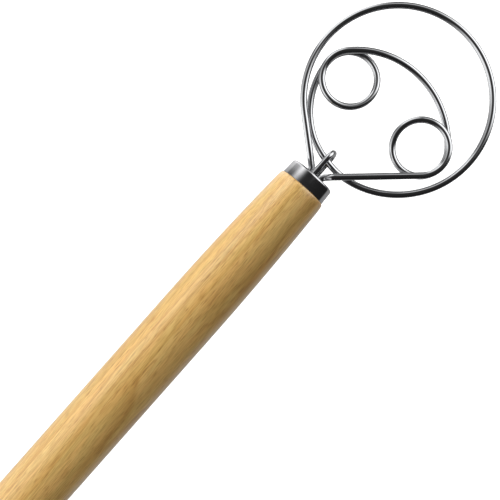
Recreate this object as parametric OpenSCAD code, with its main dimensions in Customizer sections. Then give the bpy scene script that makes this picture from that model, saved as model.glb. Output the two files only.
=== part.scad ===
// Dough whisk: a turned wooden handle with a polished steel ferrule, and one length of
// spring wire bent into a large ring that returns inside itself as two small loops.
// Millimetres. +X runs along the handle towards the ring, and +Z is square to the ring.
// The origin is on the handle's axis, in the middle of its cylindrical grip.

/* [Handle] */
// Length of the wood that shows behind the ferrule
handle_len = 236.5; // [200:0.5:280]
// Diameter of the cylindrical grip
grip_d = 27.1; // [25:0.1:32]
// Diameter at which the swell starts, behind the ferrule
neck_d = 23.5; // [22.8:0.1:24.8]
// Length of the swell, from the ferrule to the full grip
swell_len = 75; // [40:1:100]
// Drop in radius where the wood's front edge is eased
edge_drop = 0.6; // [0.2:0.1:0.8]
// Length of the eased front edge
edge_len = 4; // [2:0.5:8]
// Length over which the rear end rounds off
tail_len = 13; // [6:0.5:20]
// Diameter of the bore that takes the wire ends
bore_d = 10.6; // [10.4:0.1:12]
// Depth of the bore, from the front of the ferrule
bore_depth = 40; // [36:1:60]

/* [Ferrule] */
// Outer diameter of the ferrule at its front edge
ferrule_d = 21.3; // [19:0.1:22]
// Outer diameter of the ferrule at its rear edge
ferrule_rear_d = 21.9; // [19.5:0.1:22.3]
// Length of the ferrule
ferrule_len = 7; // [5:0.5:14]
// Thickness of the ferrule's sheet
ferrule_wall = 0.7; // [0.4:0.1:1.2]
// Outer radius of the ferrule's front edge
ferrule_round = 1.1; // [0.5:0.1:2]

/* [Whisk wire] */
// Diameter of the wire
wire_d = 3; // [2.4:0.1:3.2]
// Length of wire that is buried in the handle
wire_bury = 35; // [20:1:35.5]
// Height of the upper wire end above the handle's axis, seen from the front
leg_a_y = 2.2; // [2:0.1:2.4]
// Height of the lower wire end below the handle's axis
leg_b_y = 3.5; // [3:0.1:3.6]
// Distance from the ferrule's face to the corner of the bends in the two legs
leg_bend = 1.9; // [1.5:0.1:3]
// Straight wire between the ferrule's face and the start of the bends
bend_start = 0.6; // [0.1:0.1:0.7]

/* [Whisk head] */
// Outer diameter of the large ring
ring_od = 85; // [80:0.5:92]
// Clear distance from the ferrule's face to the ring
ring_gap = 6.7; // [5.5:0.1:9]
// Outer diameter of the two small loops
loop_od = 27.2; // [24:0.1:30]
// Distance between the centres of the two small loops
loop_pitch = 42.8; // [40:0.1:44]
// Distance from the ferrule's face to the line through both loops
loop_x = 41; // [39:0.1:43]
// Centre-line radius of the bow that joins the two loops
bow_r = 40; // [36:0.5:44]
// Place on the ring, seen from its centre, where the run back to the first loop leaves it
return_angle = 192.2; // [185:0.2:200]
// Angle at which the head leans from the handle's axis
head_lean = -2.7; // [-4:0.1:-1]
// Sideways offset of the head from the handle's axis
head_shift = -3.6; // [-5:0.1:-2.5]
// Clear gap between two passes of the wire that lie on each other
stack_gap = 0.5; // [0.4:0.1:1]

/* [Keeper hook] */
// Diameter of the hook's wire
hook_d = 2.6; // [2:0.1:2.8]
// Clear distance between the wire that the hook holds and the inside of its bow
hook_slack = 1.6; // [0.8:0.1:2.4]
// Clear width between the hook's two legs
hook_gap = 4.4; // [4.2:0.1:4.6]
// Twist of the hook about the handle's axis
hook_twist = -11; // [-14:1:-4]
// Sideways offset of the hook from the handle's axis
hook_y = -0.3; // [-0.6:0.1:0.4]
// Length of the hook's legs that is buried in the handle
hook_bury = 30; // [20:1:35]

/* [Fits] */
// Clearance on each side between the ferrule and the wood inside it
spigot_fit = 0.05; // [0.02:0.01:0.1]
// Gap between the ferrule's rear edge and the wood's shoulder
shoulder_gap = 0.1; // [0.05:0.05:0.3]
// Gap that the resin leaves around the wires and inside the bore
resin_fit = 0.03; // [0.02:0.01:0.08]
// Gap that the resin leaves at the ends of the wires and of the bore
end_gap = 0.13; // [0.05:0.01:0.3]
// Depth of the resin's surface behind the ferrule's face
resin_recess = 0.5; // [0.2:0.1:1.5]

/* [Hidden] */
$fn = 96;

// Colours of the materials
wood_colour = [0.80, 0.63, 0.41];
steel_colour = [0.78, 0.79, 0.80];
resin_colour = [0.45, 0.38, 0.28];

// Number of points on the curved stretches of a turned profile
swell_steps = 24;
tail_steps = 16;
edge_steps = 6;
// Sides of the wire's section, and the longest turn and run between two of its rings
wire_sides = 16;
turn_step = 12;
run_step = 4.4;

// Stations along the handle
grip_len = handle_len - swell_len - tail_len;
grip_front = grip_len / 2;
shoulder_x = grip_front + swell_len;
face_x = shoulder_x + shoulder_gap + ferrule_len;
rear_x = face_x - ferrule_len - shoulder_gap - handle_len;
bore_end = face_x - bore_depth;
spigot_front = face_x - ferrule_wall - shoulder_gap;
spigot_chamfer = ferrule_round / 2;

// Radii of the wire's centre line
wire_r = wire_d / 2;
ring_r = (ring_od - wire_d) / 2;
ring_x = ring_gap + ring_od / 2;
loop_r = (loop_od - wire_d) / 2;

function polar(r, a) = r * [cos(a), sin(a)];
function bearing(v) = atan2(v[1], v[0]);
// Distance of a point, given from a line's start, beside that line
function beside_line(way, v) = abs(way[0] * v[1] - way[1] * v[0]);
// Turn from one bearing to another in the clockwise sense, from 0 to 360 degrees
function clockwise(from, to) = (from - to) - 360 * floor((from - to) / 360);
// Smooth rise from 0 to 1
function ease(t) = let (c = max(0, min(1, t))) c * c * (3 - 2 * c);
function sum_to(list, last, i = 0) = i > last ? 0 : list[i] + sum_to(list, last, i + 1);

// A point of the head, from its distance along the head's own axis and its height beside it
function head_point(along, beside) =
    let (v = beside + head_shift)
    [face_x + along * cos(head_lean) - v * sin(head_lean),
     along * sin(head_lean) + v * cos(head_lean)];

// Centres of the five arcs, each tangent inside the next
ring_c = head_point(ring_x, 0);
loop_1_c = head_point(loop_x, loop_pitch / 2);
loop_2_c = head_point(loop_x, -loop_pitch / 2);
bow_back = sqrt(pow(bow_r - loop_r, 2) - pow(loop_pitch / 2, 2));
bow_c = head_point(loop_x - bow_back, 0);

// The run back leaves the ring at one given place and ends on the first loop
ring_end = return_angle + head_lean;
ring_end_way = polar(1, ring_end);
across_head = ring_c + ring_r * ring_end_way - loop_1_c;
return_r = (across_head * across_head - loop_r * loop_r)
    / (2 * (across_head * ring_end_way - loop_r));
return_c = ring_c + (ring_r - return_r) * ring_end_way;

// Corners of the two legs' bends at the ferrule's mouth
corner_a = [face_x + leg_bend, leg_a_y];
corner_b = [face_x + leg_bend, -leg_b_y];

// Bearings of the legs and of the points where the arcs meet
leg_a_dir = bearing(ring_c - corner_a) + asin(ring_r / norm(ring_c - corner_a));
leg_b_dir = bearing(loop_2_c - corner_b) - asin(loop_r / norm(loop_2_c - corner_b));
ring_start = leg_a_dir + 90;
return_end = bearing(loop_1_c - return_c);
bow_start = bearing(loop_1_c - bow_c);
bow_end = bearing(loop_2_c - bow_c);
loop_2_end = leg_b_dir - 90;

// Reach of the bends on both sides of their corners
bend_reach = leg_bend - bend_start;
bend_a_r = bend_reach / tan(leg_a_dir / 2);
bend_b_r = bend_reach / tan(-leg_b_dir / 2);
leg_a_len = norm(ring_c + polar(ring_r, ring_start) - corner_a) - bend_reach;
leg_b_len = norm(loop_2_c + polar(loop_r, loop_2_end) - corner_b) - bend_reach;
buried_len = wire_bury + leg_bend - bend_reach;

// The wire's plan, as lines [start, bearing, length] and arcs [centre, radius, start, turn]
wire_plan = [
    [[face_x - wire_bury, leg_a_y], 0, buried_len],
    [corner_a + [-bend_reach, bend_a_r], bend_a_r, -90, leg_a_dir],
    [corner_a + polar(bend_reach, leg_a_dir), leg_a_dir, leg_a_len],
    [ring_c, ring_r, ring_start, -clockwise(ring_start, ring_end)],
    [return_c, return_r, ring_end, -clockwise(ring_end, return_end)],
    [loop_1_c, loop_r, return_end, -clockwise(return_end, bow_start) - 360],
    [bow_c, bow_r, bow_start, -clockwise(bow_start, bow_end)],
    [loop_2_c, loop_r, bow_end, -clockwise(bow_end, loop_2_end) - 360],
    [corner_b + polar(bend_reach + leg_b_len, leg_b_dir), leg_b_dir + 180, leg_b_len],
    [corner_b + [-bend_reach, -bend_b_r], bend_b_r, 90 + leg_b_dir, -leg_b_dir],
    [[face_x + leg_bend - bend_reach, -leg_b_y], 180, buried_len]
];

function is_line(s) = len(s) == 3;
function run_length(s) = is_line(s) ? s[2] : s[1] * abs(s[3]) * PI / 180;
function run_steps(s) =
    is_line(s) ? ceil(s[2] / run_step)
               : max(ceil(abs(s[3]) / turn_step), ceil(run_length(s) / run_step));
function run_point(s, t) =
    is_line(s) ? s[0] + polar(s[2] * t, s[1]) : s[0] + polar(s[1], s[2] + s[3] * t);
function run_bearing(s, t) = is_line(s) ? s[1] : s[2] + s[3] * t + (s[3] < 0 ? -90 : 90);

run_lengths = [for (s = wire_plan) run_length(s)];
run_starts = [for (i = [0:len(wire_plan)]) sum_to(run_lengths, i - 1)];

// Places along the wire, in order, where it starts or ends a change of level
LEG_A = 2;
RING = 3;
RETURN = 4;
LOOP_1 = 5;
BOW = 6;
LOOP_2 = 7;
LEG_B = 8;

// Two passes that lie on each other are one pitch apart, and half of it is one level
pitch = wire_d + stack_gap;
level = pitch / 2;
function on_arc(i, degrees) = run_starts[i] + wire_plan[i][1] * PI / 180 * degrees;
// Length over which two tangent passes part by one pitch, from the difference of their curvatures
function parting(difference) = sqrt(2 * pitch / difference);
bow_parting = parting(1 / loop_r - 1 / bow_r);
return_parting = parting(1 / loop_r - 1 / return_r);
leg_parting = parting(1 / loop_r);
// The upper leg rises as far as the run that goes back beside it needs
leg_beside = beside_line(polar(1, leg_a_dir), return_c - corner_a) - return_r;
leg_lift = max(0, sqrt(max(0, pitch * pitch - leg_beside * leg_beside)) - level);
// Level stretch before a crossing, and the slopes up to the hook, away from it and along the ring
level_run = 2.7 * wire_d;
hook_fall = 4 * wire_d;
ring_slope = 8.7 * wire_d;
// Share of the lower leg, from its bend to the ring, on which it comes down to the handle
leg_fall_share = 0.42;
hook_hold = on_arc(RETURN, clockwise(ring_end, 180 + asin(return_c[1] / return_r)));
held_x = return_c[0] - sqrt(return_r * return_r - return_c[1] * return_c[1]);
ring_from_b = ring_c - corner_b;
ring_beside_b = beside_line(polar(1, leg_b_dir), ring_from_b);
leg_b_cross = ring_from_b * polar(1, leg_b_dir) - sqrt(ring_r * ring_r - pow(ring_beside_b, 2));

// Changes of level as [start, end, rise]
level_changes = [
    [run_starts[LEG_A], run_starts[LEG_A] + leg_a_len / 2, leg_lift],
    [on_arc(RING, 20), on_arc(RING, 65), -leg_lift],
    [run_starts[RETURN] - level_run - ring_slope, run_starts[RETURN] - level_run, -level],
    [hook_hold - level_run, hook_hold, level],
    [hook_hold, hook_hold + hook_fall, -level],
    [on_arc(LOOP_1, clockwise(return_end, bow_start)) + bow_parting,
     on_arc(LOOP_1, 360) - return_parting, pitch],
    [run_starts[BOW] + bow_parting, run_starts[LOOP_2] - bow_parting, -pitch],
    [on_arc(LOOP_2, clockwise(bow_end, loop_2_end)) + leg_parting,
     on_arc(LOOP_2, 360) - bow_parting, pitch],
    [run_starts[LEG_B] + leg_b_len - leg_fall_share * (leg_b_cross - bend_reach),
     run_starts[LEG_B] + leg_b_len + bend_reach / 2, -level]
];
function height_at(s) =
    sum_to([for (c = level_changes) c[2] * ease((s - c[0]) / (c[1] - c[0]))],
           len(level_changes) - 1);

// Stations of the wire's centre line as [x, y, z, bearing]
wire_stations = [
    for (i = [0:len(wire_plan) - 1])
        let (s = wire_plan[i], n = run_steps(s))
        for (k = [0:n - (i < len(wire_plan) - 1 ? 1 : 0)])
            let (p = run_point(s, k / n))
            [p[0], p[1], height_at(run_starts[i] + run_lengths[i] * k / n), run_bearing(s, k / n)]
];

// Least clear gap of the wire to itself, between stations that are well apart along it
function place(i) = [wire_stations[i][0], wire_stations[i][1], wire_stations[i][2]];
function span_gap(p, a, b) =
    let (t = max(0, min(1, (p - a) * (b - a) / ((b - a) * (b - a)))))
    norm(p - a - t * (b - a));
apart = 6;
wire_gap = min([
    for (i = [0:len(wire_stations) - 1])
        for (j = [i + apart:1:len(wire_stations) - 2])
            span_gap(place(i), place(j), place(j + 1))
]) - wire_d;
echo(least_gap_of_wire_to_itself = wire_gap, wire_length = run_starts[len(wire_plan)]);

// Outer radius of the ferrule at a distance in front of its rear edge
function ferrule_radius(h) =
    (ferrule_rear_d + (ferrule_d - ferrule_rear_d) * h / (ferrule_len - ferrule_round)) / 2;

// Radius of the wood at a distance behind its shoulder, within the swell
function wood_radius(h) =
    let (e = max(0, 1 - h / edge_len))
    grip_d / 2 - (grip_d - neck_d) / 2 * pow(1 - h / swell_len, 2)
        - edge_drop * (1 - sqrt(1 - e * e));

// Turns a profile of [radius, x] points about the handle's axis
module turned(profile) {
    rotate([0, 90, 0]) rotate_extrude() polygon(profile);
}

module rod(from, to, d) {
    translate([from, 0, 0]) rotate([0, 90, 0]) cylinder(h = to - from, d = d);
}

module handle() {
    spigot_len = spigot_front - shoulder_x;
    inside = ferrule_wall + spigot_fit;
    spigot_tip_r = ferrule_radius(spigot_len - spigot_chamfer) - inside;
    edge = [for (i = [0:edge_steps - 1]) edge_len * pow(i / edge_steps, 2)];
    swell = [for (i = [0:swell_steps]) edge_len + (swell_len - edge_len) * i / swell_steps];
    color(wood_colour) turned(concat(
        [[0, bore_end], [bore_d / 2, bore_end], [bore_d / 2, spigot_front],
         [spigot_tip_r - spigot_chamfer, spigot_front],
         [spigot_tip_r, spigot_front - spigot_chamfer],
         [ferrule_radius(0) - inside, shoulder_x]],
        [for (h = concat(edge, swell)) [wood_radius(h), shoulder_x - h]],
        [for (i = [0:tail_steps])
            let (a = 90 * i / tail_steps)
            [i == tail_steps ? 0 : grip_d / 2 * cos(a), rear_x + tail_len * (1 - sin(a))]]
    ));
}

module ferrule() {
    outer = ferrule_d / 2;
    inner = outer - ferrule_wall;
    inner_round = max(0.1, ferrule_round - ferrule_wall);
    rear = face_x - ferrule_len;
    rear_r = ferrule_rear_d / 2;
    front = face_x - ferrule_wall;
    color(steel_colour) turned(concat(
        [[bore_d / 2, face_x]],
        [for (a = [90:-15:0])
            [outer - ferrule_round, face_x - ferrule_round] + polar(ferrule_round, a)],
        [[rear_r, rear], [rear_r - ferrule_wall, rear]],
        [for (a = [0:30:90]) [inner - inner_round, front - inner_round] + polar(inner_round, a)],
        [[bore_d / 2, front]]
    ));
}

// Places the hook in its twisted plane beside the handle's axis
module at_hook() {
    translate([0, hook_y, 0]) rotate([hook_twist, 0, 0]) children();
}

// Centres of the hook's two legs, above and below the handle's axis
module at_hook_legs() {
    at_hook()
        for (side = [-1, 1]) translate([0, 0, side * (hook_gap + hook_d) / 2]) children();
}

module bonding_resin() {
    color(resin_colour) difference() {
        rod(bore_end + end_gap, face_x - resin_recess, bore_d - 2 * resin_fit);
        for (y = [leg_a_y, -leg_b_y])
            translate([0, y, 0]) rod(face_x - wire_bury - end_gap, face_x, wire_d + 2 * resin_fit);
        at_hook_legs() rod(face_x - hook_bury - end_gap, face_x, hook_d + 2 * resin_fit);
    }
}

module keeper_hook() {
    bow = (hook_gap + hook_d) / 2;
    // To a hundredth of a millimetre, so that the bow and the legs meet in one plane
    bow_x = round((held_x + wire_r + hook_slack - hook_gap / 2) * 100) / 100;
    color(steel_colour) {
        at_hook_legs() rod(face_x - hook_bury, bow_x, hook_d);
        at_hook() translate([bow_x, 0, 0]) rotate([90, 0, 0])
            rotate_extrude(angle = 180, start = -90) translate([bow, 0]) circle(d = hook_d);
    }
}

module whisk_wire() {
    n = len(wire_stations);
    m = wire_sides;
    function slope(i) =
        let (a = place(max(i - 1, 0)), b = place(min(i + 1, n - 1)))
        (b[2] - a[2]) / norm(b - a);
    points = [
        for (i = [0:n - 1])
            let (b = wire_stations[i][3], rise = asin(slope(i)),
                 side = [-sin(b), cos(b), 0],
                 up = [-cos(b) * sin(rise), -sin(b) * sin(rise), cos(rise)])
            for (k = [0:m - 1])
                place(i) + wire_r * (cos(360 * k / m) * side + sin(360 * k / m) * up)
    ];
    sides = [
        for (i = [0:n - 2])
            for (k = [0:m - 1])
                let (a = i * m + k, b = i * m + (k + 1) % m)
                each [[a, a + m, b], [b, a + m, b + m]]
    ];
    ends = [
        for (k = [1:m - 2])
            each [[0, k, k + 1], [(n - 1) * m, (n - 1) * m + k + 1, (n - 1) * m + k]]
    ];
    color(steel_colour) polyhedron(points, concat(sides, ends), convexity = 10);
}

handle();
ferrule();
bonding_resin();
keeper_hook();
whisk_wire();
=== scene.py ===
"""Dough whisk: the looks of its turned handle, ferrule, formed wire, keeper hook and resin.

The part's frame is used throughout: metres, +X along the handle towards the ring, and +Z
square to the ring and towards the camera.
"""
import math
from collections import namedtuple

import bmesh
import bpy
from mathutils import Matrix, Vector


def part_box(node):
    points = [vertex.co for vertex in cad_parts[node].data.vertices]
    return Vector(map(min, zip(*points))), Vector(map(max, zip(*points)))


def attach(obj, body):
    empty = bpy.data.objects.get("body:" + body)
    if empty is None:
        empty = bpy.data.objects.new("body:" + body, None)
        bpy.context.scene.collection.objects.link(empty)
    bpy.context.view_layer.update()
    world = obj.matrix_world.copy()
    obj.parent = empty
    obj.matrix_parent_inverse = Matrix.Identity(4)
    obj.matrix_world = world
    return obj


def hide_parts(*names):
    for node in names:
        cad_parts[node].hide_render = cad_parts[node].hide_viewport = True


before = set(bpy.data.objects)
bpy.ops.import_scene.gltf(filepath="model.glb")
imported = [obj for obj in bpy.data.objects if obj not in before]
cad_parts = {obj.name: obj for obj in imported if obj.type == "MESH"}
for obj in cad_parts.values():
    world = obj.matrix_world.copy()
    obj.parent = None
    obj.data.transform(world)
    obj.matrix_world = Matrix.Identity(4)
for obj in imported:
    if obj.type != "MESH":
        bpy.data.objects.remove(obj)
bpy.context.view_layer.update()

MM = 0.001

# Stations along the handle and its largest radii, from the frame
FACE_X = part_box("ferrule")[1].x
FERRULE_REAR_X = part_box("ferrule")[0].x
HANDLE_REAR_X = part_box("handle")[0].x
GRIP_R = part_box("handle")[1].y
FERRULE_REAR_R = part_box("ferrule")[1].y

# Turned handle
SWELL_LEN = 75.0 * MM
NECK_R = 11.75 * MM
EDGE_LEN = 4.0 * MM
EDGE_DROP = 0.6 * MM
TAIL_LEN = 13.0 * MM
BORE_R = 5.3 * MM
BORE_DEPTH = 40.0 * MM
SHOULDER_GAP = 0.1 * MM
SHOULDER_X = FERRULE_REAR_X - SHOULDER_GAP

# Drawn ferrule
FERRULE_FRONT_R = 10.65 * MM
FERRULE_WALL = 0.7 * MM
FERRULE_ROUND = 1.1 * MM
FERRULE_LIP = 0.22 * MM
MOUTH_ROUND = 0.3 * MM
SPIGOT_FIT = 0.05 * MM
SPIGOT_CHAMFER = 0.55 * MM

# Whisk wire and the plan of its head
WIRE_R = 1.5 * MM
WIRE_BURY = 35.0 * MM
RING_R = 41.0 * MM
RING_X = 49.2 * MM
LOOP_R = 12.1 * MM
LOOP_X = 41.0 * MM
LOOP_PITCH = 42.8 * MM
BOW_R = 40.0 * MM
RETURN_ANGLE = math.radians(192.2)
HEAD_LEAN = math.radians(-2.7)
HEAD_SHIFT = -3.6 * MM
LEG_A_Y = 2.2 * MM
LEG_B_Y = -3.5 * MM
LEG_BEND = 1.9 * MM
BEND_REACH = 1.3 * MM

# Heights: two passes that cross lie one pitch apart, and the other values say how long or where
# the slopes between levels are
PITCH = 3.5 * MM
LEVEL = PITCH / 2
LEVEL_RUN = 8.1 * MM
HOOK_FALL = 12.0 * MM
RING_SLOPE = 26.1 * MM
RING_FALL_FROM = math.radians(20)
RING_FALL_TO = math.radians(65)
LEG_FALL_SHARE = 0.42

# Keeper hook
HOOK_R = 1.3 * MM
HOOK_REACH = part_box("keeper_hook")[1].x - FACE_X
HOOK_BOW_R = 3.5 * MM
HOOK_TWIST = math.radians(-11)
HOOK_Y = -0.3 * MM
HOOK_BURY = 30.0 * MM

# Fineness of the meshes
STATION_STEP = 0.8 * MM
WIRE_SIDES = 32
HOOK_BOW_STEPS = 32
TURNED_SEGMENTS = 144
EDGE_STEPS = 12
SWELL_STEPS = 40
TAIL_STEPS = 32
SMALL_ROUND_STEPS = 8
FRONT_ROUND_STEPS = 16
INNER_ROUND_STEPS = 4
SHARP_ANGLE = math.radians(40)

# Sockets of a Mix node for colours, by number because it has several sets under the same names
MIX_AMOUNT = 0
MIX_BASE = 6
MIX_TONE = 7
MIX_RESULT = 2


def polar(radius, angle):
    return Vector((radius * math.cos(angle), radius * math.sin(angle)))


def bearing(v):
    return math.atan2(v.y, v.x)


def clockwise(start, end):
    """Turn from one bearing to another in the clockwise sense."""
    return (start - end) % math.tau


def ease(t):
    """A smooth step from 0 to 1, level at both ends."""
    t = min(max(t, 0.0), 1.0)
    return t * t * (3 - 2 * t)


def parting(difference):
    """Length over which two tangent passes part by one pitch, from their curvatures."""
    return math.sqrt(2 * PITCH / difference)


def head_point(along, beside):
    """A point of the head, from its distance along the head's own axis and beside it."""
    v = beside + HEAD_SHIFT
    c, s = math.cos(HEAD_LEAN), math.sin(HEAD_LEAN)
    return Vector((FACE_X + along * c - v * s, along * s + v * c))


def line(start, angle, length):
    """A straight run: its length, and its place at a share t of that length."""
    return {"length": length, "at": lambda t: start + polar(length * t, angle)}


def arc(centre, radius, start, turn):
    """A round run, clockwise where its turn is negative, in the form of line()."""
    return {"length": radius * abs(turn), "at": lambda t: centre + polar(radius, start + turn * t)}


def whisk_route():
    """Centre line of the whisk wire: lines and arcs, each tangent to the next."""
    ring_c = head_point(RING_X, 0)
    loop_1_c = head_point(LOOP_X, LOOP_PITCH / 2)
    loop_2_c = head_point(LOOP_X, -LOOP_PITCH / 2)
    bow_back = math.sqrt((BOW_R - LOOP_R) ** 2 - (LOOP_PITCH / 2) ** 2)
    bow_c = head_point(LOOP_X - bow_back, 0)
    ring_end = RETURN_ANGLE + HEAD_LEAN
    way = polar(1, ring_end)
    across = ring_c + RING_R * way - loop_1_c
    return_r = (across.dot(across) - LOOP_R ** 2) / (2 * (across.dot(way) - LOOP_R))
    return_c = ring_c + (RING_R - return_r) * way

    corner_a = Vector((FACE_X + LEG_BEND, LEG_A_Y))
    corner_b = Vector((FACE_X + LEG_BEND, LEG_B_Y))
    a_dir = bearing(ring_c - corner_a) + math.asin(RING_R / (ring_c - corner_a).length)
    b_dir = bearing(loop_2_c - corner_b) - math.asin(LOOP_R / (loop_2_c - corner_b).length)
    ring_start = a_dir + math.pi / 2
    return_end = bearing(loop_1_c - return_c)
    bow_start = bearing(loop_1_c - bow_c)
    bow_end = bearing(loop_2_c - bow_c)
    loop_2_end = b_dir - math.pi / 2
    bend_a_r = BEND_REACH / math.tan(a_dir / 2)
    bend_b_r = BEND_REACH / math.tan(-b_dir / 2)
    a_len = (ring_c + polar(RING_R, ring_start) - corner_a).length - BEND_REACH
    b_len = (loop_2_c + polar(LOOP_R, loop_2_end) - corner_b).length - BEND_REACH
    buried = WIRE_BURY + LEG_BEND - BEND_REACH
    runs = [
        line(Vector((FACE_X - WIRE_BURY, LEG_A_Y)), 0, buried),
        arc(corner_a + Vector((-BEND_REACH, bend_a_r)), bend_a_r, -math.pi / 2, a_dir),
        line(corner_a + polar(BEND_REACH, a_dir), a_dir, a_len),
        arc(ring_c, RING_R, ring_start, -clockwise(ring_start, ring_end)),
        arc(return_c, return_r, ring_end, -clockwise(ring_end, return_end)),
        arc(loop_1_c, LOOP_R, return_end, -clockwise(return_end, bow_start) - math.tau),
        arc(bow_c, BOW_R, bow_start, -clockwise(bow_start, bow_end)),
        arc(loop_2_c, LOOP_R, bow_end, -clockwise(bow_end, loop_2_end) - math.tau),
        line(corner_b + polar(BEND_REACH + b_len, b_dir), b_dir + math.pi, b_len),
        arc(corner_b + Vector((-BEND_REACH, -bend_b_r)), bend_b_r, math.pi / 2 + b_dir, -b_dir),
        line(Vector((FACE_X + LEG_BEND - BEND_REACH, LEG_B_Y)), math.pi, buried),
    ]
    starts = [sum(run["length"] for run in runs[:i]) for i in range(len(runs) + 1)]
    _, _, leg_a, ring, back, loop_1, bow, loop_2, leg_b = starts[:9]

    # Where each pass climbs over or dives under the next one
    beside = abs(polar(1, a_dir).cross(return_c - corner_a)) - return_r
    leg_lift = max(0.0, math.sqrt(max(0.0, PITCH ** 2 - beside ** 2)) - LEVEL)
    hold = back + return_r * clockwise(ring_end, math.pi + math.asin(return_c.y / return_r))
    from_b = ring_c - corner_b
    b_cross = from_b.dot(polar(1, b_dir)) - math.sqrt(
        RING_R ** 2 - polar(1, b_dir).cross(from_b) ** 2)
    from_bow = parting(1 / LOOP_R - 1 / BOW_R)
    from_return = parting(1 / LOOP_R - 1 / return_r)
    from_leg = parting(1 / LOOP_R)
    turn = math.tau * LOOP_R
    changes = [
        (leg_a, leg_a + a_len / 2, leg_lift),
        (ring + RING_R * RING_FALL_FROM, ring + RING_R * RING_FALL_TO, -leg_lift),
        (back - LEVEL_RUN - RING_SLOPE, back - LEVEL_RUN, -LEVEL),
        (hold - LEVEL_RUN, hold, LEVEL),
        (hold, hold + HOOK_FALL, -LEVEL),
        (loop_1 + LOOP_R * clockwise(return_end, bow_start) + from_bow,
         loop_1 + turn - from_return, PITCH),
        (bow + from_bow, loop_2 - from_bow, -PITCH),
        (loop_2 + LOOP_R * clockwise(bow_end, loop_2_end) + from_leg,
         loop_2 + turn - from_bow, PITCH),
        (leg_b + b_len - LEG_FALL_SHARE * (b_cross - BEND_REACH),
         leg_b + b_len + BEND_REACH / 2, -LEVEL),
    ]
    points = []
    for run, start in zip(runs, starts):
        n = math.ceil(run["length"] / STATION_STEP)
        for k in range(n):
            s = start + run["length"] * k / n
            z = sum(rise * ease((s - a) / (b - a)) for a, b, rise in changes)
            points.append(Vector((*run["at"](k / n), z)))
    points.append(Vector((*runs[-1]["at"](1), 0)))
    return points


def hook_route():
    """Centre line of the keeper hook: two straight legs joined by a half round."""
    bow_x = FACE_X + HOOK_REACH - HOOK_R - HOOK_BOW_R
    start_x = FACE_X - HOOK_BURY
    n = math.ceil((bow_x - start_x) / STATION_STEP)
    leg = [start_x + (bow_x - start_x) * k / n for k in range(n)]
    flat = [(x, -HOOK_BOW_R) for x in leg]
    for k in range(HOOK_BOW_STEPS + 1):
        a = math.pi * (k / HOOK_BOW_STEPS - 0.5)
        flat.append((bow_x + HOOK_BOW_R * math.cos(a), HOOK_BOW_R * math.sin(a)))
    flat += [(x, HOOK_BOW_R) for x in reversed(leg)]
    twist = Matrix.Rotation(HOOK_TWIST, 3, "X")
    return [twist @ Vector((x, 0, z)) + Vector((0, HOOK_Y, 0)) for x, z in flat]


def wood_radius(h):
    """Outer radius of the wood at a distance behind its shoulder, within the swell."""
    e = max(0.0, 1 - h / EDGE_LEN)
    swell = (GRIP_R - NECK_R) * (1 - min(h / SWELL_LEN, 1)) ** 2
    return GRIP_R - swell - EDGE_DROP * (1 - math.sqrt(1 - e * e))


def ferrule_radius(h):
    """Outer radius of the ferrule at a distance in front of its rear edge."""
    straight = FACE_X - FERRULE_ROUND - FERRULE_REAR_X
    return FERRULE_REAR_R + (FERRULE_FRONT_R - FERRULE_REAR_R) * h / straight


def quarter(x, radius, size, start, steps=SMALL_ROUND_STEPS):
    """Points of a quarter round about (x, radius), clockwise from a start angle."""
    for k in range(steps + 1):
        a = start - math.pi / 2 * k / steps
        yield x + size * math.sin(a), radius + size * math.cos(a)


def handle_profile():
    """Outline of the wood, from the end of its bore over the spigot to its rear end."""
    inside = FERRULE_WALL + SPIGOT_FIT
    spigot_x = FACE_X - FERRULE_WALL - SHOULDER_GAP
    tip_x = spigot_x - SPIGOT_CHAMFER
    tip_r = ferrule_radius(tip_x - SHOULDER_X) - inside
    bore_end = FACE_X - BORE_DEPTH
    profile = [(bore_end, 0), (bore_end, BORE_R), (spigot_x, BORE_R),
               (spigot_x, tip_r - SPIGOT_CHAMFER), (tip_x, tip_r),
               (SHOULDER_X, ferrule_radius(0) - inside)]
    edge = [EDGE_LEN * (k / EDGE_STEPS) ** 2 for k in range(EDGE_STEPS)]
    swell = [EDGE_LEN + (SWELL_LEN - EDGE_LEN) * k / SWELL_STEPS for k in range(SWELL_STEPS + 1)]
    profile += [(SHOULDER_X - h, wood_radius(h)) for h in edge + swell]
    for k in range(TAIL_STEPS + 1):
        a = math.pi / 2 * k / TAIL_STEPS
        radius = 0 if k == TAIL_STEPS else GRIP_R * math.cos(a)
        profile.append((HANDLE_REAR_X + TAIL_LEN * (1 - math.sin(a)), radius))
    return profile


def ferrule_profile():
    """Outline of the cap's wall, from its mouth over the outside and back through the inside."""
    inner = FERRULE_FRONT_R - FERRULE_WALL
    inner_round = FERRULE_ROUND - FERRULE_WALL
    front = FACE_X - FERRULE_WALL
    lip = FERRULE_LIP
    profile = list(quarter(FACE_X - MOUTH_ROUND, BORE_R + MOUTH_ROUND, MOUTH_ROUND, math.pi))
    profile += quarter(FACE_X - FERRULE_ROUND, FERRULE_FRONT_R - FERRULE_ROUND, FERRULE_ROUND,
                       math.pi / 2, FRONT_ROUND_STEPS)
    profile += quarter(FERRULE_REAR_X + lip, FERRULE_REAR_R - lip, lip, 0)
    profile.append((FERRULE_REAR_X, FERRULE_REAR_R - FERRULE_WALL))
    for k in range(INNER_ROUND_STEPS + 1):
        a = math.pi / 2 * k / INNER_ROUND_STEPS
        profile.append((front - inner_round + inner_round * math.sin(a),
                        inner - inner_round + inner_round * math.cos(a)))
    profile.append((front, BORE_R))
    return profile


def node(tree, kind, **values):
    """Adds a node and sets what is named: a property, or a socket's value or incoming link."""
    made = tree.nodes.new(kind)
    for key, value in values.items():
        if hasattr(made, key):
            setattr(made, key, value)
            continue
        name = key.replace("_", " ").lower()
        socket = next(s for s in made.inputs if s.name.lower() == name and s.enabled)
        if isinstance(value, bpy.types.NodeSocket):
            tree.links.new(value, socket)
        else:
            socket.default_value = value
    return made


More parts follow.
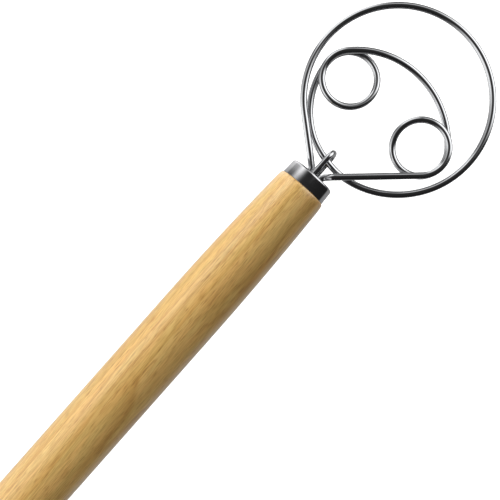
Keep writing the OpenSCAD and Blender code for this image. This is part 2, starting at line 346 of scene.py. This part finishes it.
def math_node(tree, operation, *values):
    made = node(tree, "ShaderNodeMath", operation=operation)
    for socket, value in zip(made.inputs, values):
        if isinstance(value, bpy.types.NodeSocket):
            tree.links.new(value, socket)
        else:
            socket.default_value = value
    return made.outputs[0]


def vector_node(tree, operation, vector, other=None):
    made = node(tree, "ShaderNodeVectorMath", operation=operation)
    tree.links.new(vector, made.inputs[0])
    if other is not None:
        made.inputs[1].default_value = other
    return made.outputs["Value" if operation in ("LENGTH", "DOT_PRODUCT") else "Vector"]


def ramp(tree, fac, stops):
    made = tree.nodes.new("ShaderNodeValToRGB")
    elements = made.color_ramp.elements
    while len(elements) < len(stops):
        elements.new(0.5)
    for element, (position, colour) in zip(elements, stops):
        element.position = position
        element.color = (*colour, 1)
    tree.links.new(fac, made.inputs["Fac"])
    return made.outputs["Color"]


def greys(tree, fac, stops):
    return ramp(tree, fac, [(position, (level, level, level)) for position, level in stops])


def multiplied(tree, base, tone, amount):
    """A colour multiplied by a tone, as far as the amount says."""
    made = node(tree, "ShaderNodeMix", data_type="RGBA", blend_type="MULTIPLY")
    made.inputs[MIX_AMOUNT].default_value = amount
    tree.links.new(base, made.inputs[MIX_BASE])
    tree.links.new(tone, made.inputs[MIX_TONE])
    return made.outputs[MIX_RESULT]


def stretched_noise(tree, place, scale, detail=2.0, roughness=0.5):
    """Noise whose scale says how many of its features go to a metre along each axis."""
    mapped = node(tree, "ShaderNodeMapping", Vector=place, Scale=scale).outputs[0]
    return node(tree, "ShaderNodeTexNoise", Vector=mapped, Scale=1.0, Detail=detail,
                Roughness=roughness).outputs["Fac"]


def new_material(name):
    material = bpy.data.materials.new(name)
    material.use_nodes = True
    tree = material.node_tree
    return material, tree, tree.nodes["Principled BSDF"]


# The blank was sawn beside the tree's heart, so the growth rings run as long lines
HEART_TILT = (0.0, math.radians(-1.0), math.radians(-1.8))
HEART_OFFSET = (0.0, -34.0 * MM, 49.2 * MM)
RING_SPACING = 3.1 * MM
RING_WANDER = 7.0 * MM

# Colours through one growth ring, which darkens slowly towards its late wood and ends sharply
RING_TONES = [
    (0.00, (0.685, 0.445, 0.147)),
    (0.55, (0.672, 0.428, 0.136)),
    (0.84, (0.610, 0.368, 0.106)),
    (0.93, (0.560, 0.326, 0.088)),
    (1.00, (0.680, 0.440, 0.143)),
]

# Lean of the fibres to the handle's axis, and how far along the noise their pattern begins
GRAIN_TILT = (0.0, 0.0, math.radians(-2.0))
GRAIN_START = (2.17, 0.0, 0.0)


def growth_rings(tree, place):
    """Colour of the wood's rings, from the distance to the tree's heart."""
    heart = node(tree, "ShaderNodeMapping", Vector=place, Rotation=HEART_TILT,
                 Location=HEART_OFFSET).outputs[0]
    distance = vector_node(tree, "LENGTH", vector_node(tree, "MULTIPLY", heart, (0, 1, 1)))
    wander = stretched_noise(tree, place, (10, 75, 75))
    wandered = math_node(tree, "MULTIPLY_ADD", wander, RING_WANDER, distance)
    ring = math_node(tree, "FRACT", math_node(tree, "DIVIDE", wandered, RING_SPACING))
    return ramp(tree, ring, RING_TONES)


def lacquered_wood():
    """Honey-coloured hardwood under a thin satin lacquer."""
    material, tree, shader = new_material("lacquered_wood")
    place = node(tree, "ShaderNodeTexCoord").outputs["Object"]
    grain = node(tree, "ShaderNodeMapping", Vector=place, Rotation=GRAIN_TILT,
                 Location=GRAIN_START).outputs[0]

    # Broad bands of warmer and paler wood, with patches that lean to pink or yellow
    bands = ramp(tree, stretched_noise(tree, grain, (11, 160, 160), 4.0),
                 [(0.32, (0.82, 0.76, 0.68)), (0.50, (0.97, 0.95, 0.93)),
                  (0.68, (1.06, 1.08, 1.12))])
    patches = ramp(tree, stretched_noise(tree, grain, (45, 330, 330), 3.0),
                   [(0.35, (1.05, 0.95, 0.90)), (0.65, (0.97, 1.03, 1.00))])
    colour = multiplied(tree, growth_rings(tree, place), bands, 0.42)
    colour = multiplied(tree, colour, patches, 0.6)

    # Fine fibres along the grain, and short dark pores that gather in streaks
    fibre = stretched_noise(tree, grain, (120, 3000, 3000), 2.0, 0.6)
    fibre_tone = ramp(tree, fibre, [(0.38, (0.76, 0.69, 0.58)), (0.50, (0.98, 0.97, 0.96)),
                                    (0.64, (1.08, 1.10, 1.14))])
    colour = multiplied(tree, colour, fibre_tone, 0.8)
    streak = stretched_noise(tree, grain, (25, 420, 420))
    pore = stretched_noise(tree, grain, (240, 3300, 3300), 0.0)
    cut = math_node(tree, "MULTIPLY_ADD", streak, 0.4, pore)
    pore_tone = ramp(tree, cut, [(0.80, (1.0, 1.0, 1.0)), (0.94, (0.58, 0.42, 0.25))])
    colour = multiplied(tree, colour, pore_tone, 0.6)
    tree.links.new(colour, shader.inputs["Base Color"])

    # The lacquer is worn smoother in places by handling, and sinks a little into the pores
    handling = stretched_noise(tree, place, (30, 60, 60), 4.0)
    rough = node(tree, "ShaderNodeMapRange", Value=handling, From_Min=0.3, From_Max=0.7,
                 To_Min=0.40, To_Max=0.54).outputs[0]
    tree.links.new(rough, shader.inputs["Roughness"])
    pit = math_node(tree, "SUBTRACT", fibre, greys(tree, cut, [(0.78, 0.0), (0.90, 1.0)]))
    bump = node(tree, "ShaderNodeBump", Strength=0.25, Distance=0.05 * MM, Height=pit)
    tree.links.new(bump.outputs[0], shader.inputs["Normal"])
    shader.inputs["Coat Weight"].default_value = 1.0
    shader.inputs["Coat Roughness"].default_value = 0.28
    shader.inputs["Coat IOR"].default_value = 1.6

    # A faint sheen pales the wood where it turns away, as a satin finish does
    shader.inputs["Sheen Weight"].default_value = 0.25
    shader.inputs["Sheen Roughness"].default_value = 0.3
    return material


def drawn_steel(name, place_of, line_scale, cloud_scale, tone, roughness):
    """Bright stainless with faint drawing lines and a little uneven polish."""
    material, tree, shader = new_material(name)
    place = place_of(tree)
    lines = stretched_noise(tree, place, line_scale, 3.0)
    cloud = stretched_noise(tree, place, cloud_scale, 4.0)
    colour = ramp(tree, cloud, [(0.3, tuple(0.92 * c for c in tone)), (0.7, tone)])
    line_tone = greys(tree, lines, [(0.3, 0.93), (0.6, 1.0)])
    tree.links.new(multiplied(tree, colour, line_tone, 0.6), shader.inputs["Base Color"])
    rough = node(tree, "ShaderNodeMapRange", Value=cloud, From_Min=0.3, From_Max=0.7,
                 To_Min=roughness[0], To_Max=roughness[1]).outputs[0]
    tree.links.new(rough, shader.inputs["Roughness"])
    bump = node(tree, "ShaderNodeBump", Strength=0.05, Distance=0.02 * MM, Height=lines)
    tree.links.new(bump.outputs[0], shader.inputs["Normal"])
    shader.inputs["Metallic"].default_value = 1.0
    return material


def wire_steel():
    """Lines run along the wire, on the coordinates that the sweep stores."""
    def along_wire(tree):
        return node(tree, "ShaderNodeAttribute", attribute_name="rod").outputs["Vector"]
    return drawn_steel("drawn_wire_steel", along_wire, (60, 2600, 2600), (90, 300, 300),
                       (0.485, 0.49, 0.50), (0.06, 0.13))


def ferrule_steel():
    """Lines run round the cap, as the polishing wheel leaves them."""
    def around_axis(tree):
        place = node(tree, "ShaderNodeTexCoord").outputs["Object"]
        sides = vector_node(tree, "MULTIPLY", place, (0, 1, 1))
        x = node(tree, "ShaderNodeSeparateXYZ", Vector=place).outputs["X"]
        radius = vector_node(tree, "LENGTH", sides)
        return node(tree, "ShaderNodeCombineXYZ", X=x, Y=radius, Z=radius).outputs[0]
    return drawn_steel("polished_ferrule_steel", around_axis, (5200, 5200, 0), (220, 90, 0),
                       (0.485, 0.485, 0.495), (0.07, 0.13))


def amber_resin():
    """Cured resin in the ferrule's mouth, glossy, with small bubbles."""
    material, tree, shader = new_material("amber_resin")
    place = node(tree, "ShaderNodeTexCoord").outputs["Object"]
    cloud = stretched_noise(tree, place, (900, 900, 900), 3.0)
    colour = ramp(tree, cloud, [(0.35, (0.10, 0.075, 0.05)), (0.7, (0.19, 0.145, 0.095))])
    tree.links.new(colour, shader.inputs["Base Color"])
    bubbles = node(tree, "ShaderNodeTexVoronoi", Vector=place, Scale=1400.0).outputs["Distance"]
    bump = node(tree, "ShaderNodeBump", Strength=0.3, Distance=0.1 * MM, Height=bubbles)
    tree.links.new(bump.outputs[0], shader.inputs["Normal"])
    shader.inputs["Roughness"].default_value = 0.25
    return material


def sweep_tree():
    """Geometry Nodes tree: a round section swept along a curve, with coordinates of its own."""
    tree = bpy.data.node_groups.new("wire_sweep", "GeometryNodeTree")
    for name, kind, way in (("Geometry", "NodeSocketGeometry", "INPUT"),
                            ("Wire radius", "NodeSocketFloat", "INPUT"),
                            ("Sides", "NodeSocketInt", "INPUT"),
                            ("Finish", "NodeSocketMaterial", "INPUT"),
                            ("Geometry", "NodeSocketGeometry", "OUTPUT")):
        tree.interface.new_socket(name, in_out=way, socket_type=kind)
    given = tree.nodes.new("NodeGroupInput").outputs
    upright = node(tree, "GeometryNodeSetCurveNormal", mode="Z_UP", Curve=given["Geometry"])

    # The place along the wire and the place across it, joined to one attribute after the sweep
    length = tree.nodes.new("GeometryNodeSplineParameter").outputs["Length"]
    along = node(tree, "GeometryNodeStoreNamedAttribute", data_type="FLOAT", domain="POINT",
                 Geometry=upright.outputs[0], Name="along", Value=length)
    section = node(tree, "GeometryNodeCurvePrimitiveCircle", Resolution=given["Sides"],
                   Radius=given["Wire radius"])
    corner = tree.nodes.new("GeometryNodeInputPosition").outputs[0]
    across = node(tree, "GeometryNodeStoreNamedAttribute", data_type="FLOAT_VECTOR",
                  domain="POINT", Geometry=section.outputs["Curve"], Name="across", Value=corner)
    swept = node(tree, "GeometryNodeCurveToMesh", Curve=along.outputs[0],
                 Profile_Curve=across.outputs[0], Fill_Caps=True)
    read_along = node(tree, "GeometryNodeInputNamedAttribute", data_type="FLOAT", Name="along")
    read_across = node(tree, "GeometryNodeInputNamedAttribute", data_type="FLOAT_VECTOR",
                       Name="across")
    split = node(tree, "ShaderNodeSeparateXYZ", Vector=read_across.outputs[0])
    join = node(tree, "ShaderNodeCombineXYZ", X=read_along.outputs[0], Y=split.outputs["X"],
                Z=split.outputs["Y"])
    rod = node(tree, "GeometryNodeStoreNamedAttribute", data_type="FLOAT_VECTOR",
               domain="POINT", Geometry=swept.outputs[0], Name="rod", Value=join.outputs[0])

    smooth = node(tree, "GeometryNodeSetShadeSmooth", Geometry=rod.outputs[0])
    realized = node(tree, "GeometryNodeRealizeInstances", Geometry=smooth.outputs[0])
    finish = node(tree, "GeometryNodeSetMaterial", Geometry=realized.outputs[0],
                  Material=given["Finish"])
    tree.links.new(finish.outputs[0], tree.nodes.new("NodeGroupOutput").inputs["Geometry"])
    return tree


def swept_wire(name, route, radius, material, tree):
    """One wire as a plain mesh, swept along its route by the Geometry Nodes tree."""
    curve = bpy.data.curves.new(name + "_route", "CURVE")
    curve.dimensions = "3D"
    spline = curve.splines.new("POLY")
    spline.points.add(len(route) - 1)
    for point, place in zip(spline.points, route):
        point.co = (*place, 1)
    guide = bpy.data.objects.new(name + "_guide", curve)
    bpy.context.scene.collection.objects.link(guide)
    modifier = guide.modifiers.new("sweep", "NODES")
    modifier.node_group = tree
    sockets = {s.name: s.identifier for s in tree.interface.items_tree if s.in_out == "INPUT"}
    modifier[sockets["Wire radius"]] = radius
    modifier[sockets["Sides"]] = WIRE_SIDES
    modifier[sockets["Finish"]] = material
    bpy.context.view_layer.update()
    evaluated = guide.evaluated_get(bpy.context.evaluated_depsgraph_get())
    mesh = bpy.data.meshes.new_from_object(evaluated)
    bpy.data.objects.remove(guide)
    mesh.name = name
    faces_out(mesh)
    return linked(name, mesh)


def faces_out(mesh):
    work = bmesh.new()
    work.from_mesh(mesh)
    bmesh.ops.recalc_face_normals(work, faces=work.faces)
    work.to_mesh(mesh)
    work.free()


def linked(name, mesh):
    piece = bpy.data.objects.new(name, mesh)
    bpy.context.scene.collection.objects.link(piece)
    return piece


def turned(name, profile, material):
    """A turned piece: a closed profile of (x, radius) points revolved about the handle's axis."""
    work = bmesh.new()
    rings = []
    for x, radius in profile:
        if radius == 0:
            rings.append([work.verts.new((x, 0, 0))])
            continue
        angles = [math.tau * k / TURNED_SEGMENTS for k in range(TURNED_SEGMENTS)]
        rings.append([work.verts.new((x, radius * math.cos(a), radius * math.sin(a)))
                      for a in angles])
    for a, b in zip(rings, rings[1:] + rings[:1]):
        if len(a) == 1 and len(b) == 1:
            continue
        for k in range(TURNED_SEGMENTS):
            j = (k + 1) % TURNED_SEGMENTS
            corners = [a[k % len(a)], a[j % len(a)], b[j % len(b)], b[k % len(b)]]
            face = work.faces.new(list(dict.fromkeys(corners)))
            face.smooth = True
    mesh = bpy.data.meshes.new(name)
    work.to_mesh(mesh)
    work.free()
    faces_out(mesh)
    mesh.materials.append(material)
    mesh.set_sharp_from_angle(angle=SHARP_ANGLE)
    return linked(name, mesh)


# The photograph's square in the object's plane, and the camera straight above it
FIELD = 216.5 * MM
VIEW_BEHIND_FACE = 42.2 * MM
VIEW_Y = -0.9 * MM
HANDLE_IN_IMAGE = math.radians(48.5)
CAMERA_HEIGHT = 0.45
SENSOR = 36.0


def image_way(degrees):
    """Level direction in the part's frame, from its bearing in the image."""
    a = math.radians(degrees) - HANDLE_IN_IMAGE
    return Vector((math.cos(a), math.sin(a), 0))


def make_camera():
    data = bpy.data.cameras.new("camera")
    data.sensor_width = SENSOR
    data.lens = SENSOR * CAMERA_HEIGHT / FIELD
    data.clip_start, data.clip_end = 0.05, 10
    camera = bpy.data.objects.new("camera", data)
    camera.location = (FACE_X - VIEW_BEHIND_FACE, VIEW_Y, CAMERA_HEIGHT)
    camera.rotation_euler = (0, 0, -HANDLE_IN_IMAGE)
    bpy.context.scene.collection.objects.link(camera)
    bpy.context.scene.camera = camera


# A pale table top well below the object, and a softbox to one side and a little above
FLOOR_DROP = 80.0 * MM
FLOOR_MARGIN = 110.0 * MM
FLOOR_HALF_WIDTH = 210.0 * MM
TABLE_GLOW = 0.7
SOFTBOX_SIDE = 0.9
SOFTBOX_BEARING = 138
SOFTBOX_HEIGHT = 0.55
SOFTBOX_ASIDE = 1.0
SOFTBOX_POWER = 10.0

# Soft lit panels that stand round the dark room: bearing in the image, half width and softness
# in degrees, then the sines of the elevations of the lower and the upper edge, each with its
# softness, and the brightness
Panel = namedtuple("Panel", "bearing half_width soft low low_soft high high_soft level")
PANELS = [
    Panel(25, 30, 20, -0.10, 0.50, 0.80, 0.40, 2.4),
    Panel(70, 15, 10, 0.30, 0.30, 0.70, 0.40, 1.1),
    Panel(110, 20, 15, -0.80, 0.60, 0.65, 0.45, 1.5),
    Panel(145, 35, 30, 0.35, 0.60, 0.65, 0.60, 1.2),
    Panel(165, 20, 30, -0.45, 0.10, 0.25, 0.10, 0.75),
    Panel(200, 25, 40, -0.60, 0.70, 0.65, 0.55, 1.9),
]

# The room's own faint light, a little brighter towards one bearing, and the pale backdrop
ROOM_LEVEL = 0.04
ROOM_TILT = 0.02
ROOM_BEARING = 105
BACKDROP_TOP = -0.4
BACKDROP_SOFT = 0.2
BACKDROP_LEVEL = 0.4
BACKDROP_TONE = (0.93, 0.93, 0.93, 1)


def make_floor():
    """Pale table top that glows a little, and neither shows in the steel nor lights the wood."""
    low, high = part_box("handle")[0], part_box("whisk_wire")[1]
    z = low.z - FLOOR_DROP
    x0, x1 = low.x - FLOOR_MARGIN, high.x + FLOOR_MARGIN
    mesh = bpy.data.meshes.new("table_top")
    mesh.from_pydata([(x0, -FLOOR_HALF_WIDTH, z), (x1, -FLOOR_HALF_WIDTH, z),
                      (x1, FLOOR_HALF_WIDTH, z), (x0, FLOOR_HALF_WIDTH, z)], [], [(0, 1, 2, 3)])
    material, tree, shader = new_material("pale_table")
    place = node(tree, "ShaderNodeTexCoord").outputs["Object"]
    cloud = stretched_noise(tree, place, (9, 9, 9), 3.0)
    tree.links.new(greys(tree, cloud, [(0.3, 0.86), (0.7, 0.89)]), shader.inputs["Base Color"])
    shader.inputs["Roughness"].default_value = 0.9
    shader.inputs["Emission Color"].default_value = (1, 1, 1, 1)
    shader.inputs["Emission Strength"].default_value = TABLE_GLOW
    mesh.materials.append(material)
    table = linked("table_top", mesh)
    table.visible_glossy = False
    table.visible_diffuse = False


def make_softbox():
    """Low softbox at the image's upper left, which the steel doesn't mirror."""
    data = bpy.data.lights.new("softbox", "AREA")
    data.shape = "SQUARE"
    data.size = SOFTBOX_SIDE
    data.energy = SOFTBOX_POWER
    aim = Vector((FACE_X - VIEW_BEHIND_FACE, VIEW_Y, 0))
    offset = image_way(SOFTBOX_BEARING) * SOFTBOX_ASIDE + Vector((0, 0, SOFTBOX_HEIGHT))
    softbox = bpy.data.objects.new("softbox", data)
    softbox.location = aim + offset
    softbox.rotation_euler = offset.to_track_quat("Z", "Y").to_euler()
    softbox.visible_glossy = False
    bpy.context.scene.collection.objects.link(softbox)


def soft_step(tree, value, edge, soft, rises=True):
    """A soft edge: from 0 to 1 where the value rises past it, or from 1 to 0."""
    half = soft / 2 if rises else -soft / 2
    return node(tree, "ShaderNodeMapRange", interpolation_type="SMOOTHSTEP", Value=value,
                From_Min=edge - half, From_Max=edge + half).outputs[0]


def make_room():
    """A dark room with soft panels round its far side and a pale backdrop underneath."""
    world = bpy.data.worlds.new("room")
    bpy.context.scene.world = world
    world.use_nodes = True
    tree = world.node_tree
    way = node(tree, "ShaderNodeTexCoord").outputs["Generated"]
    height = node(tree, "ShaderNodeSeparateXYZ", Vector=way).outputs["Z"]
    ahead = vector_node(tree, "DOT_PRODUCT", way, image_way(ROOM_BEARING))
    beside = vector_node(tree, "DOT_PRODUCT", way, image_way(ROOM_BEARING + 90))
    azimuth = math_node(tree, "ARCTAN2", beside, ahead)
    level = math_node(tree, "MULTIPLY_ADD", ahead, ROOM_TILT, ROOM_LEVEL)
    underneath = soft_step(tree, height, BACKDROP_TOP, BACKDROP_SOFT, rises=False)
    level = math_node(tree, "MULTIPLY_ADD", underneath, BACKDROP_LEVEL, level)
    for panel in PANELS:
        turn = math_node(tree, "SUBTRACT", azimuth, math.radians(panel.bearing - ROOM_BEARING))
        across = soft_step(tree, math_node(tree, "ABSOLUTE", turn), math.radians(panel.half_width),
                           math.radians(panel.soft), rises=False)
        above = soft_step(tree, height, panel.low, panel.low_soft)
        below = soft_step(tree, height, panel.high, panel.high_soft, rises=False)
        upright = math_node(tree, "MULTIPLY", above, below)
        patch = math_node(tree, "MULTIPLY", across, upright)
        level = math_node(tree, "MULTIPLY_ADD", patch, panel.level, level)
    room = node(tree, "ShaderNodeBackground", Color=(1, 1, 1, 1), Strength=level)
    backdrop = node(tree, "ShaderNodeBackground", Color=BACKDROP_TONE, Strength=1.0)

    # The camera itself sees only the plain backdrop
    seen = tree.nodes.new("ShaderNodeLightPath").outputs["Is Camera Ray"]
    both = tree.nodes.new("ShaderNodeMixShader")
    tree.links.new(seen, both.inputs[0])
    tree.links.new(room.outputs[0], both.inputs[1])
    tree.links.new(backdrop.outputs[0], both.inputs[2])
    tree.links.new(both.outputs[0], tree.nodes["World Output"].inputs["Surface"])


def dress():
    """Makes the finished pieces in place of the plain solids, and gives the resin its finish."""
    wire_finish = wire_steel()
    sweep = sweep_tree()
    pieces = [
        (turned("turned_handle", handle_profile(), lacquered_wood()), "handle", "beech_wood"),
        (turned("ferrule_cap", ferrule_profile(), ferrule_steel()), "ferrule",
         "polished_ferrule"),
        (swept_wire("formed_whisk_wire", whisk_route(), WIRE_R, wire_finish, sweep),
         "whisk_wire", "steel_wire"),
        (swept_wire("formed_keeper_hook", hook_route(), HOOK_R, wire_finish, sweep),
         "keeper_hook", "steel_wire"),
    ]
    for piece, replaced, slot in pieces:
        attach(piece, "root")
        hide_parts(replaced)
    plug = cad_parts["bonding_resin"]
    plug.data.materials.clear()
    plug.data.materials.append(amber_resin())


make_camera()
make_floor()
make_softbox()
make_room()
dress()
bpy.context.scene.view_settings.view_transform = "Standard"
